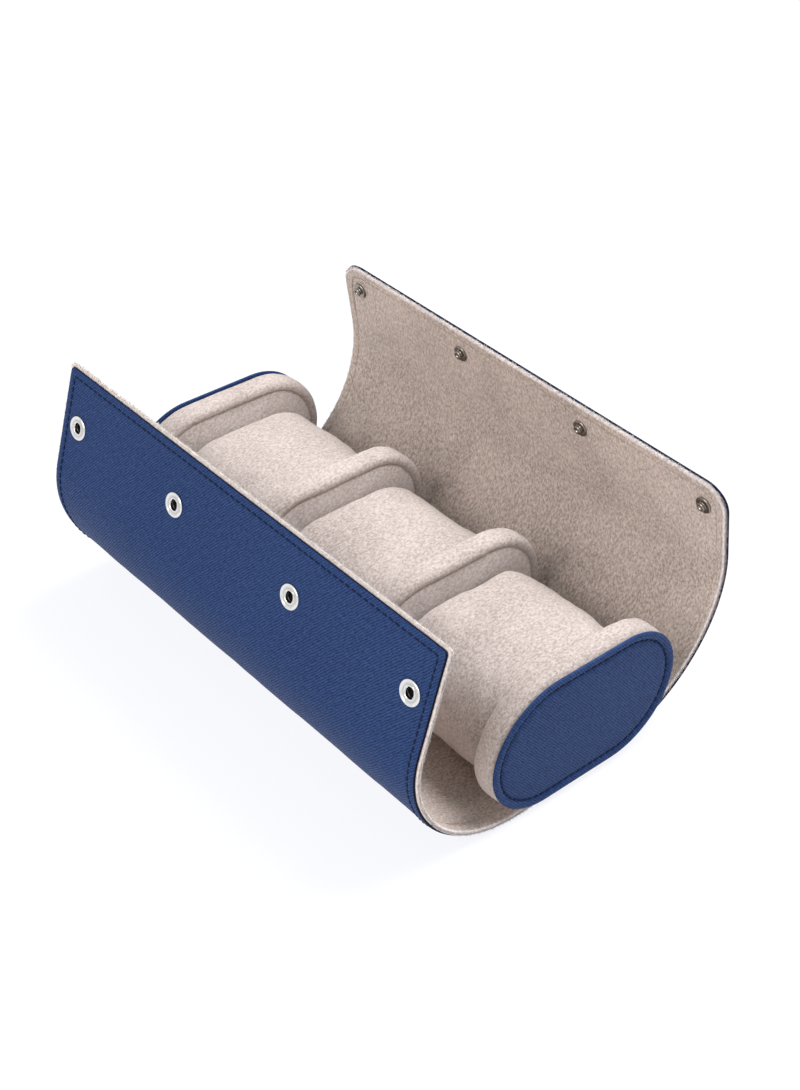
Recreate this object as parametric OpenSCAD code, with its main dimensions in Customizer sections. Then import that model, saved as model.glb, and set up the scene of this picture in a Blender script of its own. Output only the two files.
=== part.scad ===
// Travel roll case for three watches.
// A leather wrap with a suede lining closes round two end caps, two padded
// dividers and three loose cushions, and is held shut by four press studs.
// X runs along the roll, the front flap is on the -Y side, Z is up.
// The origin is the middle of the underside, on the surface it stands on.

/* [Section of the caps and dividers] */
// Width of an end cap or divider
section_w = 101; // [90:1:115]
// Height of an end cap or divider
section_h = 64; // [58:1:72]

/* [Bays] */
// Clear length of one watch bay between its pads
bay_l = 62.5; // [50:0.5:75]
// Thickness of a padded divider
divider_t = 11.5; // [9:0.5:15]
// Thickness of the padded part of an end cap
cap_pad_t = 12; // [9:0.5:16]
// Thickness of the leather face on an end cap
cap_face_t = 1.5; // [1:0.1:2.5]
// How far each end cap stands out past the wrap
cap_stand_out = 3.7; // [0:0.1:6]

/* [Pads] */
// Thickness of the suede skin on the pads
pad_skin_t = 1.2; // [0.8:0.1:1.8]
// Radius of the soft edge round a divider or end cap
pad_edge_r = 3; // [2:0.1:4]
// Distance from the rim of a pad to the seam of its flat panel
pad_seam_in = 5; // [4.5:0.1:8]
// Thickness of the stiff board inside a pad
pad_board_t = 1.5; // [1:0.1:2.5]
// Gap between a pad board and the skin round it
pad_board_gap = 1; // [0.5:0.1:2]
// Distance from the rim of the pad to the rim of the leather end face
face_in = 0.8; // [0.5:0.1:3]
// Distance from the rim of the leather end face to its stitched groove
groove_in = 3.2; // [2.5:0.1:6]
// Width of the stitched groove
groove_w = 1; // [0.6:0.1:1.6]
// Depth of the stitched groove
groove_d = 0.4; // [0.2:0.05:0.7]

/* [Cushions] */
// Width of a cushion
cushion_w = 86; // [70:1:92]
// Height of a cushion
cushion_h = 54; // [44:1:56]
// Gap between a cushion and the pad at each end of its bay
cushion_end_gap = 0.6; // [0.4:0.1:2]
// Gap between a cushion and the lining below it
cushion_seat_gap = 0.3; // [0.2:0.1:1]
// Radius of the soft edge of a cushion
cushion_edge_r = 7; // [4:0.5:10]
// Distance from the side of a cushion to the seam of its end panel
cushion_seam_in = 9; // [8:0.5:14]

/* [Wrap] */
// Thickness of the outer leather
leather_t = 1.2; // [0.8:0.1:1.8]
// Thickness of the stiffener board
board_t = 0.7; // [0.4:0.1:1.2]
// Thickness of the suede lining
lining_t = 1.1; // [0.7:0.1:1.8]
// Distance from the edges of the wrap to the stiffener board
board_in = 8; // [6:0.5:14]
// Distance from a crease to the stiffener boards beside it
board_crease_gap = 2.5; // [2:0.1:5]
// Gap in a crease between the knuckle and the hollow that it turns in
crease_gap = 0.3; // [0.2:0.05:0.5]
// How far the knuckle stays inside the faces of the sheet
knuckle_in = 0.08; // [0.05:0.01:0.2]

/* [Front flap] */
// How far the closed front flap reaches past the top centre line
front_lap = 33; // [28:0.5:40]
// Half width of the flat underside on the front flap's side, past the cap's flat
front_flat_extra = 13; // [8:0.5:18]
// How much wider the open flap's lower curve runs than the cap's own end
front_low_ease = 26; // [18:0.5:34]
// Turn of the lower curve in degrees
front_low_turn = 75; // [65:0.5:80]
// How much wider the open flap's upper curve runs than the cap's own end
front_high_ease = 13; // [8:0.5:20]
// Turn of the upper curve in degrees
front_high_turn = 28.5; // [20:0.5:34]
// Where the first crease lies, as a share of the flap's length
front_crease_1 = 0.205; // [0.195:0.001:0.235]
// Where the second crease lies
front_crease_2 = 0.4; // [0.36:0.001:0.44]
// Where the third crease lies
front_crease_3 = 0.616; // [0.57:0.001:0.66]
// Distance from the flap's edge to its row of press stud sockets
front_row_in = 23.8; // [16:0.1:28]
// Corner radius of the front flap
front_corner_r = 2; // [1:0.5:6]

/* [Rear flap] */
// How far the closed rear flap reaches past the top centre line
rear_lap = 20.5; // [16:0.5:28]
// How much wider the rear flap's first bend runs than the cap's own end
rear_low_ease = 4; // [2:0.5:8]
// Turn of the first bend in degrees
rear_low_turn = 28; // [20:0.5:34]
// Length of the straight stretch after the first bend
rear_straight = 13; // [6:0.5:20]
// How much wider the open flap's upper curve runs than the cap's own end
rear_high_ease = 30; // [22:0.5:36]
// Turn of the upper curve in degrees
rear_high_turn = 74; // [66:0.5:80]
// Where the first crease lies, as a share of the flap's length
rear_crease_1 = 0.307; // [0.285:0.001:0.33]
// Where the second crease lies
rear_crease_2 = 0.553; // [0.51:0.001:0.59]
// Where the third crease lies
rear_crease_3 = 0.799; // [0.76:0.001:0.82]
// Distance from the flap's edge to its row of press studs
rear_row_in = 11.8; // [9:0.1:16]
// Corner radius of the rear flap
rear_corner_r = 11; // [4:0.5:14]

/* [Press studs] */
// Distance between the two middle press studs
stud_middle_pitch = 72.8; // [60:0.1:80]
// Distance from a middle press stud to the outer one beside it
stud_outer_pitch = 67.6; // [50:0.1:68]
// Diameter of the socket's bright rim
socket_d = 10.5; // [9:0.1:13]
// Height of the socket's rim over the leather
socket_h = 0.8; // [0.6:0.05:1.2]
// Diameter of the socket's body, which passes through the leather
socket_body_d = 7; // [6:0.1:8]
// Diameter of the hole that takes the ball
socket_hole_d = 4.6; // [4.3:0.05:5.2]
// Thickness of the floor under the socket's hole
socket_floor_t = 0.3; // [0.2:0.05:0.5]
// Diameter of the stud's base disc
stud_base_d = 7.6; // [6.5:0.1:10]
// Thickness of the stud's base disc
stud_base_t = 0.9; // [0.7:0.05:1.1]
// Diameter of the stud's ball
stud_ball_d = 4; // [3.6:0.05:4.2]
// Height of the ball and neck over the base disc
stud_ball_h = 1.6; // [1.4:0.05:1.8]
// Diameter of the stud's neck
stud_neck_d = 3.2; // [2.6:0.1:3.5]
// Diameter of the domed cap on the back of a stud
stud_cap_d = 12.5; // [10:0.1:15]
// Height of the domed cap
stud_cap_h = 1.6; // [1.2:0.1:2.4]
// Diameter of the rivet stems that pass through the wrap
stem_d = 4.2; // [3.6:0.1:4.6]
// Clearance round a stem in the hole that it passes through
stem_clear = 0.1; // [0.05:0.05:0.3]
// Diameter of the flange behind a socket
post_flange_d = 9; // [8:0.1:11]
// Thickness of the flange behind a socket
post_flange_t = 0.7; // [0.5:0.05:0.8]

/* [Hidden] */
$fn = 48;

navy = [0.11, 0.19, 0.39];
board_grey = [0.45, 0.43, 0.40];
suede = [0.76, 0.69, 0.62];
foam_white = [0.90, 0.89, 0.86];
nickel = [0.80, 0.80, 0.82];
dark_nickel = [0.42, 0.40, 0.38];

// Lengths along the roll
cap_t = cap_pad_t + cap_face_t;
assembly_l = 3 * bay_l + 2 * divider_t + 2 * cap_t;
wrap_l = assembly_l - 2 * cap_stand_out;
cap_inner_x = 1.5 * bay_l + divider_t;
divider_x = (bay_l + divider_t) / 2;
cushion_x = bay_l + divider_t;
cushion_l = bay_l - 2 * cushion_end_gap;

// The section: two half circles joined by a flat
section_r = section_h / 2;
section_flat = section_w / 2 - section_r;
sheet_t = leather_t + board_t + lining_t;

// The outer surface of each half of the wrap when the case is open, as
// [length, radius] stretches from the centre line outwards; radius 0 is straight
function arc_stretch(radius, turn) = [radius * turn * PI / 180, radius];
closed_half_l = 2 * section_flat + PI * (section_r + sheet_t / 2);
front_l = closed_half_l + front_lap;
rear_l = closed_half_l + rear_lap;
front_path = [
    [section_flat + front_flat_extra, 0],
    arc_stretch(section_r + front_low_ease, front_low_turn),
    arc_stretch(section_r + front_high_ease, front_high_turn),
    [front_l, 0],
];
rear_path = [
    [section_flat, 0],
    arc_stretch(section_r + rear_low_ease, rear_low_turn),
    [rear_straight, 0],
    arc_stretch(section_r + rear_high_ease, rear_high_turn),
    [rear_l, 0],
];

// Where each panel of a flap starts, and where the last one ends
front_ends = front_l * [front_crease_1, front_crease_2, front_crease_3, 1];
rear_ends = rear_l * [rear_crease_1, rear_crease_2, rear_crease_3, 1];
front_row = front_l - front_row_in;
rear_row = rear_l - rear_row_in;

stud_xs = [
    -stud_middle_pitch / 2 - stud_outer_pitch,
    -stud_middle_pitch / 2,
    stud_middle_pitch / 2,
    stud_middle_pitch / 2 + stud_outer_pitch,
];
stem_hole_d = stem_d + 2 * stem_clear;
body_hole_d = socket_body_d + 2 * stem_clear;

outline_step = 3;   // spacing of the points along a curved sheet
least_step = 0.3;   // the shortest stretch that an end may leave
cut_over = 1;       // how far a cutter runs past what it cuts

// ---- The path of the wrap ----

function turned(stretch, l) = stretch[1] == 0 ? 0 : l / stretch[1] * 180 / PI;

function stepped(stretch, l, p, a) =
    let (r = stretch[1], b = a + turned(stretch, l))
    r == 0 ? p + l * [cos(a), sin(a)] : p + r * [sin(b) - sin(a), cos(a) - cos(b)];

// Point [y, z] and slope reached after the length s along the outer surface
function walk(path, s, i = 0, p = [0, 0], a = 0) =
    let (l = min(s, path[i][0]), q = stepped(path[i], l, p, a), b = a + turned(path[i], l))
    s <= path[i][0] || i == len(path) - 1 ? [q[0], q[1], b] : walk(path, s - path[i][0], i + 1, q, b);

// The same point, moved into the sheet by depth
function in_sheet(path, s, depth) =
    let (w = walk(path, s)) [w[0] - depth * sin(w[2]), w[1] + depth * cos(w[2])];

// Both ends and every whole step between them, so that all layers share their points
function stations(s0, s1) =
    let (first = ceil((s0 + least_step) / outline_step), last = floor((s1 - least_step) / outline_step))
    concat([s0], [for (i = first; i <= last; i = i + 1) i * outline_step], [s1]);

// Section of one layer of the sheet between two lengths and two depths
module strip(path, s0, s1, d0, d1) {
    there = [for (s = stations(s0, s1)) in_sheet(path, s, d0)];
    back = [for (s = stations(s0, s1)) in_sheet(path, s, d1)];
    polygon(concat(there, [for (i = [len(back) - 1:-1:0]) back[i]]));
}

module crease_disc(path, s, r) {
    translate(in_sheet(path, s, sheet_t / 2)) circle(r);
}

// Section of a layer of one panel. Its near end is a round knuckle that turns
// in the hollow cut in the far end of the panel before it.
module layer_section(path, s0, s1, d0, d1, knuckle, hollow) {
    difference() {
        strip(path, knuckle ? s0 - sheet_t : s0, s1, d0, d1);
        if (knuckle) difference() {
            strip(path, s0 - 2 * sheet_t, s0, -cut_over, sheet_t + cut_over);
            crease_disc(path, s0, sheet_t / 2 - knuckle_in);
        }
        if (hollow) crease_disc(path, s1, sheet_t / 2 + crease_gap);
    }
}

// A section drawn in Y and Z, made solid along X
module along_x(l) {
    rotate([90, 0, 90]) linear_extrude(l, center = true) children();
}

// Places children on the sheet's outer surface: X along the roll, Y back
// towards the base and Z straight out of the leather
module on_sheet(path, s, x = 0) {
    w = walk(path, s);
    translate([x, w[0], w[1]]) rotate([180 + w[2], 0, 0]) children();
}

module front_side() {
    mirror([0, 1, 0]) children();
}

// Cuts the two corners at the free edge of a flap
module corner_cuts(path, flap_l, r) {
    for (side = [-1, 1]) {
        on_sheet(path, flap_l, side * wrap_l / 2) mirror([side > 0 ? 1 : 0, 0, 0])
            translate([0, 0, -sheet_t - cut_over])
                linear_extrude(sheet_t + 2 * cut_over)
                    difference() {
                        translate([-cut_over, -cut_over]) square(r + cut_over);
                        translate([r, r]) circle(r);
                    }
    }
}

// Holes through some of the layers for one row of press studs
module row_holes(path, row, d) {
    for (x = stud_xs) {
        on_sheet(path, row, x)
            translate([0, 0, -sheet_t - cut_over]) cylinder(d = d, h = sheet_t + 2 * cut_over);
    }
}

// One layer of panel i of a flap
module panel_layer(path, ends, i, d0, d1) {
    along_x(wrap_l) layer_section(path, ends[i], ends[i + 1], d0, d1, true, i < 2);
}

// Stiffener board of panel i, clear of the creases and of the free edges. The
// lining's pocket is the same shape, cut from below its outer side.
module panel_board(path, ends, i, below = 0) {
    s1 = i < 2 ? ends[i + 1] - board_crease_gap : ends[i + 1] - board_in;
    along_x(wrap_l - 2 * board_in)
        strip(path, ends[i] + board_crease_gap, s1, leather_t - below, leather_t + board_t);
}

module flap_leather(path, ends, i, row, hole_d, corner_r) {
    color(navy) difference() {
        panel_layer(path, ends, i, 0, leather_t);
        if (i == 2) {
            corner_cuts(path, ends[3], corner_r);
            row_holes(path, row, hole_d);
        }
    }
}

module flap_board(path, ends, i, row) {
    color(board_grey) difference() {
        panel_board(path, ends, i);
        if (i == 2) row_holes(path, row, stem_hole_d);
    }
}

module flap_lining(path, ends, i, row, corner_r) {
    color(suede) difference() {
        panel_layer(path, ends, i, leather_t, sheet_t);
        panel_board(path, ends, i, below = cut_over);
        if (i == 2) {
            corner_cuts(path, ends[3], corner_r);
            row_holes(path, row, stem_hole_d);
        }
    }
}

module front_leather(i) {
    front_side() flap_leather(front_path, front_ends, i, front_row, body_hole_d, front_corner_r);
}

module front_board(i) {
    front_side() flap_board(front_path, front_ends, i, front_row);
}

module front_lining(i) {
    front_side() flap_lining(front_path, front_ends, i, front_row, front_corner_r);
}

module rear_leather(i) {
    flap_leather(rear_path, rear_ends, i, rear_row, stem_hole_d, rear_corner_r);
}

module rear_board(i) {
    flap_board(rear_path, rear_ends, i, rear_row);
}

module rear_lining(i) {
    flap_lining(rear_path, rear_ends, i, rear_row, rear_corner_r);
}

// ---- The base strip, between the first crease of each flap ----

module base_layer(d0, d1) {
    along_x(wrap_l) layer_section(rear_path, 0, rear_ends[0], d0, d1, false, true);
    front_side() along_x(wrap_l) layer_section(front_path, 0, front_ends[0], d0, d1, false, true);
}

module base_board_solid(below = 0) {
    along_x(wrap_l - 2 * board_in)
        strip(rear_path, 0, rear_ends[0] - board_crease_gap, leather_t - below, leather_t + board_t);
    front_side() along_x(wrap_l - 2 * board_in)
        strip(front_path, 0, front_ends[0] - board_crease_gap, leather_t - below, leather_t + board_t);
}

module base_leather() {
    color(navy) base_layer(0, leather_t);
}

module base_board() {
    color(board_grey) base_board_solid();
}

module base_lining() {
    color(suede) difference() {
        base_layer(leather_t, sheet_t);
        base_board_solid(below = cut_over);
    }
}

// ---- Press studs ----

module row_of_studs(path, row) {
    for (x = stud_xs) on_sheet(path, row, x) children();
}

// A disc with a rounded upper rim, standing on Z = 0
module rounded_disc(d, h) {
    rim = h / 2;
    rotate_extrude() {
        square([d / 2 - rim, h]);
        square([d / 2, h - rim]);
        translate([d / 2 - rim, h - rim]) circle(rim, $fn = 24);
    }
}

module snap_sockets() {
    color(nickel) front_side() row_of_studs(front_path, front_row) difference() {
        union() {
            rounded_disc(socket_d, socket_h);
            translate([0, 0, -leather_t]) cylinder(d = socket_body_d, h = leather_t + socket_h / 2);
        }
        translate([0, 0, -leather_t + socket_floor_t])
            cylinder(d = socket_hole_d, h = leather_t + socket_h + cut_over);
        // dished mouth that guides the ball in
        translate([0, 0, socket_h * 0.4])
            cylinder(d1 = socket_hole_d, d2 = socket_hole_d + 2 * socket_h, h = socket_h * 0.8);
    }
}

module snap_socket_posts() {
    color(dark_nickel) front_side() row_of_studs(front_path, front_row) {
        translate([0, 0, -sheet_t]) mirror([0, 0, 1]) rounded_disc(post_flange_d, post_flange_t);
        translate([0, 0, -sheet_t - post_flange_t / 2])
            cylinder(d = stem_d, h = sheet_t + post_flange_t / 2 - leather_t);
    }
}

// The ball swells from the neck and is rounded at the tip
module stud_ball() {
    rim = stud_ball_h * 0.4;
    rotate_extrude() {
        square([stud_neck_d / 2, stud_ball_h - rim]);
        square([stud_ball_d / 2 - rim, stud_ball_h]);
        translate([stud_ball_d / 2 - rim, stud_ball_h - rim]) circle(rim, $fn = 24);
    }
}

module snap_studs() {
    color(dark_nickel) row_of_studs(rear_path, rear_row)
        translate([0, 0, -sheet_t]) mirror([0, 0, 1]) {
            rounded_disc(stud_base_d, stud_base_t);
            translate([0, 0, stud_base_t]) stud_ball();
        }
}

module snap_stud_caps() {
    dome_r = (stud_cap_d * stud_cap_d / 4 + stud_cap_h * stud_cap_h) / (2 * stud_cap_h);
    color(nickel) row_of_studs(rear_path, rear_row) {
        rotate_extrude() intersection() {
            translate([0, stud_cap_h - dome_r]) circle(dome_r, $fn = 96);
            square([stud_cap_d / 2, stud_cap_h]);
        }
        translate([0, 0, -sheet_t]) cylinder(d = stem_d, h = sheet_t + stud_cap_h / 4);
    }
}

// ---- Pads: dividers, end caps and cushions ----

// A stadium outline with round ends, drawn about its middle
module stadium(w, h) {
    square([w - h, h], center = true);
    for (side = [-1, 1]) translate([side * (w - h) / 2, 0]) circle(h / 2, $fn = 96);
}

// A flat plate of stadium outline whose near face is at X = 0
module plate(w, h, t) {
    rotate([90, 0, 90]) linear_extrude(t) stadium(w, h);
}

// Half of a pad's thickness section: from its middle line to its soft rim
module rim_section(h, t, r) {
    translate([0, -t / 2]) square([h / 2 - r, t]);
    translate([0, -t / 2 + r]) square([h / 2, t - 2 * r]);
    for (side = [-1, 1]) translate([h / 2 - r, side * (t / 2 - r)]) circle(r, $fn = 32);
}

// A stadium slab with soft edges, centred in X, with its middle on the axis
module soft_slab(w, h, t, r) {
    flat = w - h;
    rotate([90, 0, 0]) linear_extrude(flat, center = true) rotate(90) {
        rim_section(h, t, r);
        mirror([1, 0]) rim_section(h, t, r);
    }
    for (side = [-1, 1])
        translate([0, side * flat / 2, 0]) rotate([0, 90, 0])
            rotate_extrude($fn = 96) rim_section(h, t, r);
}

// The suede round a pad's rim and edges, open where its flat panels go
module skin_band(w, h, t, r, seam_in) {
    difference() {
        soft_slab(w, h, t, r);
        soft_slab(w - 2 * pad_skin_t, h - 2 * pad_skin_t, t - 2 * pad_skin_t, r - pad_skin_t);
        translate([-t / 2 - cut_over, 0, 0]) plate(w - 2 * seam_in, h - 2 * seam_in, t + 2 * cut_over);
    }
}

// A flat panel that closes the band at one face; side says which
module skin_panel(w, h, t, seam_in, side) {
    translate([side > 0 ? t / 2 - pad_skin_t : -t / 2, 0, 0])
        plate(w - 2 * seam_in, h - 2 * seam_in, pad_skin_t);
}

module filling(w, h, t, r) {
    soft_slab(w - 2 * pad_skin_t, h - 2 * pad_skin_t, t - 2 * pad_skin_t, r - pad_skin_t);
}

pad_board_w = section_w - 2 * pad_skin_t - 2 * pad_board_gap;
pad_board_h = section_h - 2 * pad_skin_t - 2 * pad_board_gap;

module place_pad(x) {
    translate([x, 0, sheet_t + section_r]) children();
}

// A divider's board stands in the middle of its foam
module pad_board(x) {
    translate([x, 0, 0]) plate(pad_board_w, pad_board_h, pad_board_t);
}

module divider_band(x) {
    color(suede) place_pad(x) skin_band(section_w, section_h, divider_t, pad_edge_r, pad_seam_in);
}

module divider_panels(x) {
    color(suede) place_pad(x)
        for (side = [-1, 1]) skin_panel(section_w, section_h, divider_t, pad_seam_in, side);
}

module divider_foam(x) {
    color(foam_white) place_pad(x) difference() {
        filling(section_w, section_h, divider_t, pad_edge_r);
        pad_board(-pad_board_t / 2);
    }
}

module divider_board(x) {
    color(board_grey) place_pad(x) pad_board(-pad_board_t / 2);
}

// An end cap is drawn for the right-hand end, with its outside at +X
cap_pad_x = cap_inner_x + cap_pad_t / 2;

module cap_side(side) {
    mirror([side < 0 ? 1 : 0, 0, 0]) place_pad(cap_pad_x) children();
}

// The board closes the pad's outer opening, under the leather face
module cap_board_solid() {
    translate([cap_pad_t / 2 - pad_skin_t, 0, 0])
        plate(section_w - 2 * pad_seam_in, section_h - 2 * pad_seam_in, pad_skin_t);
    translate([cap_pad_t / 2 - pad_skin_t - pad_board_t, 0, 0])
        plate(section_w - 2 * pad_edge_r, section_h - 2 * pad_edge_r, pad_board_t);
}

module cap_band(side) {
    color(suede) cap_side(side) skin_band(section_w, section_h, cap_pad_t, pad_edge_r, pad_seam_in);
}

module cap_panel(side) {
    color(suede) cap_side(side) skin_panel(section_w, section_h, cap_pad_t, pad_seam_in, -1);
}

module cap_foam(side) {
    color(foam_white) cap_side(side) difference() {
        filling(section_w, section_h, cap_pad_t, pad_edge_r);
        cap_board_solid();
    }
}

module cap_board(side) {
    color(board_grey) cap_side(side) cap_board_solid();
}

// Leather face with a rounded rim and the groove that its stitches lie in
module cap_face(side) {
    face_w = section_w - 2 * face_in;
    face_h = section_h - 2 * face_in;
    rim = cap_face_t / 2;
    color(navy) cap_side(side) translate([cap_pad_t / 2, 0, 0]) difference() {
        intersection() {
            soft_slab(face_w, face_h, 2 * cap_face_t, rim);
            plate(face_w, face_h, cap_face_t);
        }
        translate([cap_face_t - groove_d, 0, 0]) difference() {
            plate(face_w - 2 * groove_in, face_h - 2 * groove_in, groove_d + cut_over);
            translate([-cut_over, 0, 0])
                plate(face_w - 2 * groove_in - 2 * groove_w, face_h - 2 * groove_in - 2 * groove_w,
                    groove_d + 3 * cut_over);
        }
    }
}

module place_cushion(x) {
    translate([x, 0, sheet_t + cushion_seat_gap + cushion_h / 2]) children();
}

module cushion_cover(x) {
    color(suede) place_cushion(x)
        skin_band(cushion_w, cushion_h, cushion_l, cushion_edge_r, cushion_seam_in);
}

module cushion_ends(x) {
    color(suede) place_cushion(x)
        for (side = [-1, 1]) skin_panel(cushion_w, cushion_h, cushion_l, cushion_seam_in, side);
}

module cushion_filling(x) {
    color(foam_white) place_cushion(x) filling(cushion_w, cushion_h, cushion_l, cushion_edge_r);
}

base_leather();
base_board();
base_lining();
front_leather(0);  // front_leather_1
front_board(0);  // front_board_1
front_lining(0);  // front_lining_1
front_leather(1);  // front_leather_2
front_board(1);  // front_board_2
front_lining(1);  // front_lining_2
front_leather(2);  // front_leather_3
front_board(2);  // front_board_3
front_lining(2);  // front_lining_3
rear_leather(0);  // rear_leather_1
rear_board(0);  // rear_board_1
rear_lining(0);  // rear_lining_1
rear_leather(1);  // rear_leather_2
rear_board(1);  // rear_board_2
rear_lining(1);  // rear_lining_2
rear_leather(2);  // rear_leather_3
rear_board(2);  // rear_board_3
rear_lining(2);  // rear_lining_3
snap_sockets();
snap_socket_posts();
snap_studs();
snap_stud_caps();
cap_band(-1);  // cap_left_band
cap_panel(-1);  // cap_left_panel
cap_foam(-1);  // cap_left_foam
cap_board(-1);  // cap_left_board
cap_face(-1);  // cap_left_face
cap_band(1);  // cap_right_band
cap_panel(1);  // cap_right_panel
cap_foam(1);  // cap_right_foam
cap_board(1);  // cap_right_board
cap_face(1);  // cap_right_face
divider_band(-divider_x);  // divider_left_band
divider_panels(-divider_x);  // divider_left_panels
divider_foam(-divider_x);  // divider_left_foam
divider_board(-divider_x);  // divider_left_board
divider_band(divider_x);  // divider_right_band
divider_panels(divider_x);  // divider_right_panels
divider_foam(divider_x);  // divider_right_foam
divider_board(divider_x);  // divider_right_board
cushion_cover(-cushion_x);  // cushion_left_cover
cushion_ends(-cushion_x);  // cushion_left_ends
cushion_filling(-cushion_x);  // cushion_left_filling
cushion_cover(0);  // cushion_middle_cover
cushion_ends(0);  // cushion_middle_ends
cushion_filling(0);  // cushion_middle_filling
cushion_cover(cushion_x);  // cushion_right_cover
cushion_ends(cushion_x);  // cushion_right_ends
cushion_filling(cushion_x);  // cushion_right_filling
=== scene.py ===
import math

import bpy
import numpy as np
from mathutils import Matrix, Vector


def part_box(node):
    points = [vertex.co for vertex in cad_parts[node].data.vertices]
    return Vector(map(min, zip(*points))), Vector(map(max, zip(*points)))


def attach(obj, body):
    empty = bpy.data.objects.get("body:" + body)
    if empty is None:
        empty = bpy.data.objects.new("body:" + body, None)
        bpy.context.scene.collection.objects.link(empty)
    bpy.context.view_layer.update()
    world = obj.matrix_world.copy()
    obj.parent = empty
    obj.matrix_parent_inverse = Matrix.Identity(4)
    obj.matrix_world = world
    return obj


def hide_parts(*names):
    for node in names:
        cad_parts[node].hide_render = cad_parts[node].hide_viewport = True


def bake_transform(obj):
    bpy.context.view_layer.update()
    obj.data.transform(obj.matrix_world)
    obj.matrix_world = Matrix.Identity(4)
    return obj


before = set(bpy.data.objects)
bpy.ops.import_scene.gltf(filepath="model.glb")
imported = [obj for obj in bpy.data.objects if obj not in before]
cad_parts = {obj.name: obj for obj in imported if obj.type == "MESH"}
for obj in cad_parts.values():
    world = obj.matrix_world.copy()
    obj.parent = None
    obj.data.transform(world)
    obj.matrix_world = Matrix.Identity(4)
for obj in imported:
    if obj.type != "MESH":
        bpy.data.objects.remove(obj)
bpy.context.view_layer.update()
mm = 0.001

# ---- The wrap's leather ----
# One panel of navy calf leather with a fine crossed grain pressed into it. It is
# cut flat, folded round the roll and sewn to the suede lining close to its edge.

leather_t, board_t, sheet_t = 1.2 * mm, 0.7 * mm, 3.0 * mm
half_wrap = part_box("base_leather")[1].x

# the flat oval that the wrap closes round, and half of the wrap's girth round it
section_w, section_h = 101 * mm, 64 * mm
section_r, section_flat = section_h / 2, (section_w - section_h) / 2
closed_half = 2 * section_flat + math.pi * (section_r + sheet_t / 2)

# each flap reaches past the middle of the top, and the two overlap there
front_l, rear_l = round(closed_half + 33 * mm, 7), round(closed_half + 20.5 * mm, 7)
front_creases = [front_l * share for share in (0.205, 0.4, 0.616)]
rear_creases = [rear_l * share for share in (0.307, 0.553, 0.799)]
front_corner_r, rear_corner_r = 2 * mm, 11 * mm


def bend(radius, degrees):
    """A round stretch of the open wrap: its length and its radius."""
    return radius * math.radians(degrees), radius


# the open wrap from the middle of the base outwards; a straight stretch has no radius
on_to_the_edge = (1, 0)
front_run = [(section_flat + 13 * mm, 0), bend(section_r + 26 * mm, 75),
             bend(section_r + 13 * mm, 28.5), on_to_the_edge]
rear_run = [(section_flat, 0), bend(section_r + 4 * mm, 28), (13 * mm, 0),
            bend(section_r + 30 * mm, 74), on_to_the_edge]


def follow(run, s):
    """Y, Z and slope of the wrap's outer face after the length s from the middle of the base."""
    y, z, slope, left = np.zeros_like(s), np.zeros_like(s), np.zeros_like(s), s.copy()
    for length, radius in run:
        step = np.clip(left, 0, length)
        if radius:
            turned = slope + step / radius
            y = y + radius * (np.sin(turned) - np.sin(slope))
            z = z + radius * (np.cos(slope) - np.cos(turned))
            slope = turned
        else:
            y, z = y + step * np.cos(slope), z + step * np.sin(slope)
        left = left - step
    return y, z, slope


def in_wrap(x, t, depth):
    """Points of the sheet: x along the roll, t from the front edge (-) to the rear edge (+)
    and depth in from the outer face."""
    x, t, depth = np.broadcast_arrays(x, t, depth)
    front, rear = follow(front_run, np.abs(t)), follow(rear_run, np.abs(t))
    y, z, slope = (np.where(t < 0, f, r) for f, r in zip(front, rear))
    return np.stack([x, np.sign(t) * (y - depth * np.sin(slope)), z + depth * np.cos(slope)], -1)


def round_corners(x, t, out=0.0):
    """Moves points of the square-cut sheet so that its four corners are rounded. The sheet
    is cut larger than the pattern by out."""
    x, t, out = x.copy(), t.copy(), np.broadcast_to(out, x.shape)
    for length, r, side in ((front_l, front_corner_r, -1), (rear_l, rear_corner_r, 1)):
        reach = 3 * r + 4 * mm
        for end in (-1, 1):
            u = 1 - (half_wrap + out - end * x) / reach
            v = 1 - (length + out - side * t) / reach
            near = (u > 0) & (v > 0)
            most = np.maximum(u, v)[near]
            # a and b: where the ray through the point leaves the square corner; the
            # rounded corner crosses that ray at the share k of its length
            a, b = u[near] / most * reach, v[near] / most * reach
            q = reach - r
            root = np.maximum((q * (a + b)) ** 2 - (a * a + b * b) * (2 * q * q - r * r), 0)
            k = (q * (a + b) + np.sqrt(root)) / (a * a + b * b)
            k = np.where(np.minimum(a, b) > q, k, 1)
            pull = 1 + (k - 1) * most ** 2
            x[near] = end * (half_wrap + out[near] - reach * (1 - u[near] * pull))
            t[near] = side * (length + out[near] - reach * (1 - v[near] * pull))
    return x, t


def lines(lo, hi, near_lo, near_hi, step):
    """Grid lines from lo to hi, close together beside the sewn edges and even between them."""
    close = np.array([0, 0.1, 0.3, 0.55, 0.9, 1.3, 1.7, 1.9, 2.1, 2.3, 2.6,
                      3, 3.4, 3.7, 4, 4.3, 4.6, 5, 5.6, 6.4, 7.5]) * mm
    first = lo + close if near_lo else np.array([lo])
    last = hi - close[::-1] if near_hi else np.array([hi])
    count = max(2, round((last[0] - first[-1]) / step) + 1)
    return np.concatenate([first, np.linspace(first[-1], last[0], count)[1:-1], last])


def ripple(x, t, seed, *waves):
    """Slow unevenness of a hand-made surface, as a sum of (height, wavelength) waves."""
    rng, total = np.random.default_rng(seed), 0
    for height, wave in waves:
        for _ in range(4):
            turn, phase = rng.uniform(0, math.pi), rng.uniform(0, math.tau)
            size = wave * rng.uniform(0.75, 1.3)
            along = x * math.cos(turn) + t * math.sin(turn)
            total = total + height / 2 * np.sin(along * math.tau / size + phase)
    return total


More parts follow.
